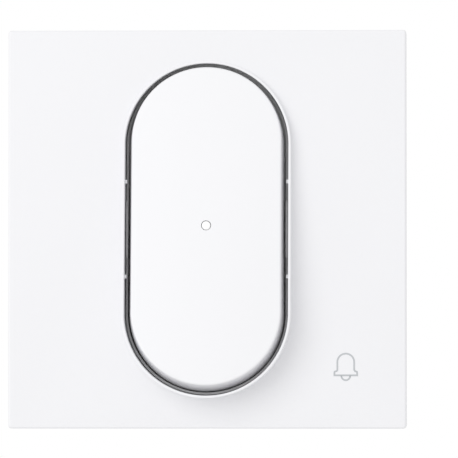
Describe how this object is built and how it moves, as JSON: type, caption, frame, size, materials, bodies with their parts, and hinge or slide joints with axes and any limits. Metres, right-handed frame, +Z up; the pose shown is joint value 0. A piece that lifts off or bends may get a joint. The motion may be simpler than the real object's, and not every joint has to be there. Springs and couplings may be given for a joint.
{
  "type": "doorbell push button",
  "caption": "Square wall plate with a tall round-ended push button in a tilted collar, hinged at its top, with a pilot-light window and a flush-mounted switch module behind it.",
  "frame": {"origin": "centre of the square plate, in the plane of the wall that it is fixed to", "axes": "+Y into the wall, so the front faces -Y; +Z up; +X to the right seen from the front"},
  "size_m": [0.086, 0.0392, 0.086],
  "materials": {
    "plate_plastic": "white satin moulded plastic, fine even texture",
    "button_plastic": "white satin moulded plastic",
    "liner_plastic": "mid-grey moulded plastic",
    "frame_plastic": "light grey moulded plastic",
    "module_plastic": "off-white flame-retardant plastic",
    "black_plastic": "black moulded plastic",
    "nylon": "natural white nylon",
    "lens_plastic": "milky clear acrylic",
    "clear_plastic": "clear epoxy",
    "board_laminate": "green circuit board with solder mask",
    "silvered_contact": "silver-plated contact metal",
    "resistor_lacquer": "beige lacquer",
    "plated_steel": "zinc-plated steel",
    "spring_steel": "drawn spring wire",
    "bumper_rubber": "soft black rubber",
    "terminal_brass": "turned brass",
    "symbol_print": "light grey printed ink"
  },
  "bodies": {
    "station": {"cover_plate": "plate_plastic", "inner_frame": "liner_plastic", "mounting_frame": "frame_plastic", "module_lid": "module_plastic", "module_housing": "module_plastic", "circuit_board": "board_laminate", "switch_body": "black_plastic", "contact_blade": "silvered_contact", "common_contact": "silvered_contact", "centre_contact": "silvered_contact", "light_baffle": "nylon", "led": "clear_plastic", "led_resistor": "resistor_lacquer", "led_diode": "black_plastic", "hinge_pin": "plated_steel", "return_spring_left": "spring_steel", "return_spring_right": "spring_steel", "stop_bumper_left": "bumper_rubber", "stop_bumper_right": "bumper_rubber", "box_screw_left": "plated_steel", "box_screw_right": "plated_steel", "module_screw_1": "plated_steel", "module_screw_2": "plated_steel", "module_screw_3": "plated_steel", "module_screw_4": "plated_steel", "terminal_1": "terminal_brass", "terminal_screw_1": "plated_steel", "terminal_2": "terminal_brass", "terminal_screw_2": "plated_steel", "terminal_3": "terminal_brass", "terminal_screw_3": "plated_steel", "terminal_4": "terminal_brass", "terminal_screw_4": "plated_steel"},
    "button": {"button_cap": "button_plastic", "button_carrier": "frame_plastic", "light_pipe": "lens_plastic"},
    "plunger": {"switch_plunger": "nylon"}
  },
  "joints": [
    {"name": "button_press", "type": "hinge", "parent": "station", "child": "button", "pos_m": [0, -0.0046, 0.025], "axis": [1, 0, 0], "range_deg": [0, 1.69], "stiffness_Nm_per_rad": 1, "springref_deg": -5.73, "deforming": ["return_spring_left", "return_spring_right"]},
    {"name": "plunger_slide", "type": "slide", "parent": "station", "child": "plunger", "axis": [0, 1, 0], "range_m": [0, 0.0012], "stiffness_N_per_m": 5, "springref_m": -0.001, "deforming": ["contact_blade"]}
  ],
  "couplings": [
    {"joint": "plunger_slide", "follows": "button_press", "m_per_rad": 0.039}
  ]
}
